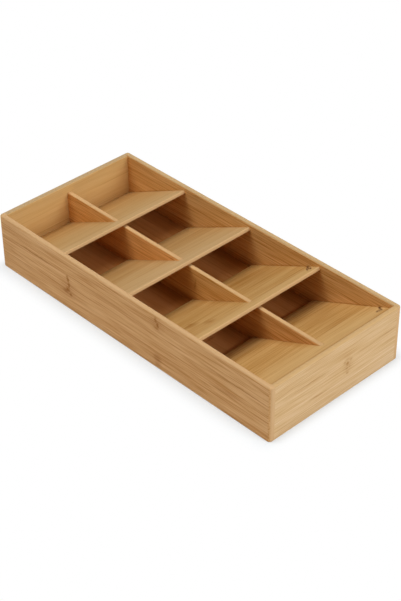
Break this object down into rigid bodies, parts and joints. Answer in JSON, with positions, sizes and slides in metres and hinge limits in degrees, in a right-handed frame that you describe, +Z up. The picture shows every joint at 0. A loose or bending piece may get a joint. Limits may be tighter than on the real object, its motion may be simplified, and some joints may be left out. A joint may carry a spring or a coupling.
{
  "type": "cutlery tray",
  "caption": "Open bamboo drawer tray for cutlery, with sloping compartments that overlap like roof tiles and upright dividers along the middle.",
  "frame": {"origin": "middle of the underside", "axes": "+X across the tray to the right, +Y from the front, where the ramps are high, to the rear, +Z up"},
  "size_m": [0.182, 0.4, 0.065],
  "materials": {
    "side_board_bamboo": "satin",
    "end_board_bamboo": "satin",
    "base_bamboo": "satin",
    "ramp_bamboo": "satin",
    "divider_bamboo": "satin"
  },
  "bodies": {
    "root": {"left_side_board": "side_board_bamboo", "right_side_board": "side_board_bamboo", "front_end_board": "end_board_bamboo", "rear_end_board": "end_board_bamboo", "base_panel": "base_bamboo", "ramp_row_1": "ramp_bamboo", "ramp_row_2": "ramp_bamboo", "ramp_row_3": "ramp_bamboo", "ramp_row_4": "ramp_bamboo", "divider_row_1": "divider_bamboo", "divider_row_2": "divider_bamboo", "divider_row_3": "divider_bamboo", "divider_row_4": "divider_bamboo"}
  },
  "joints": []
}
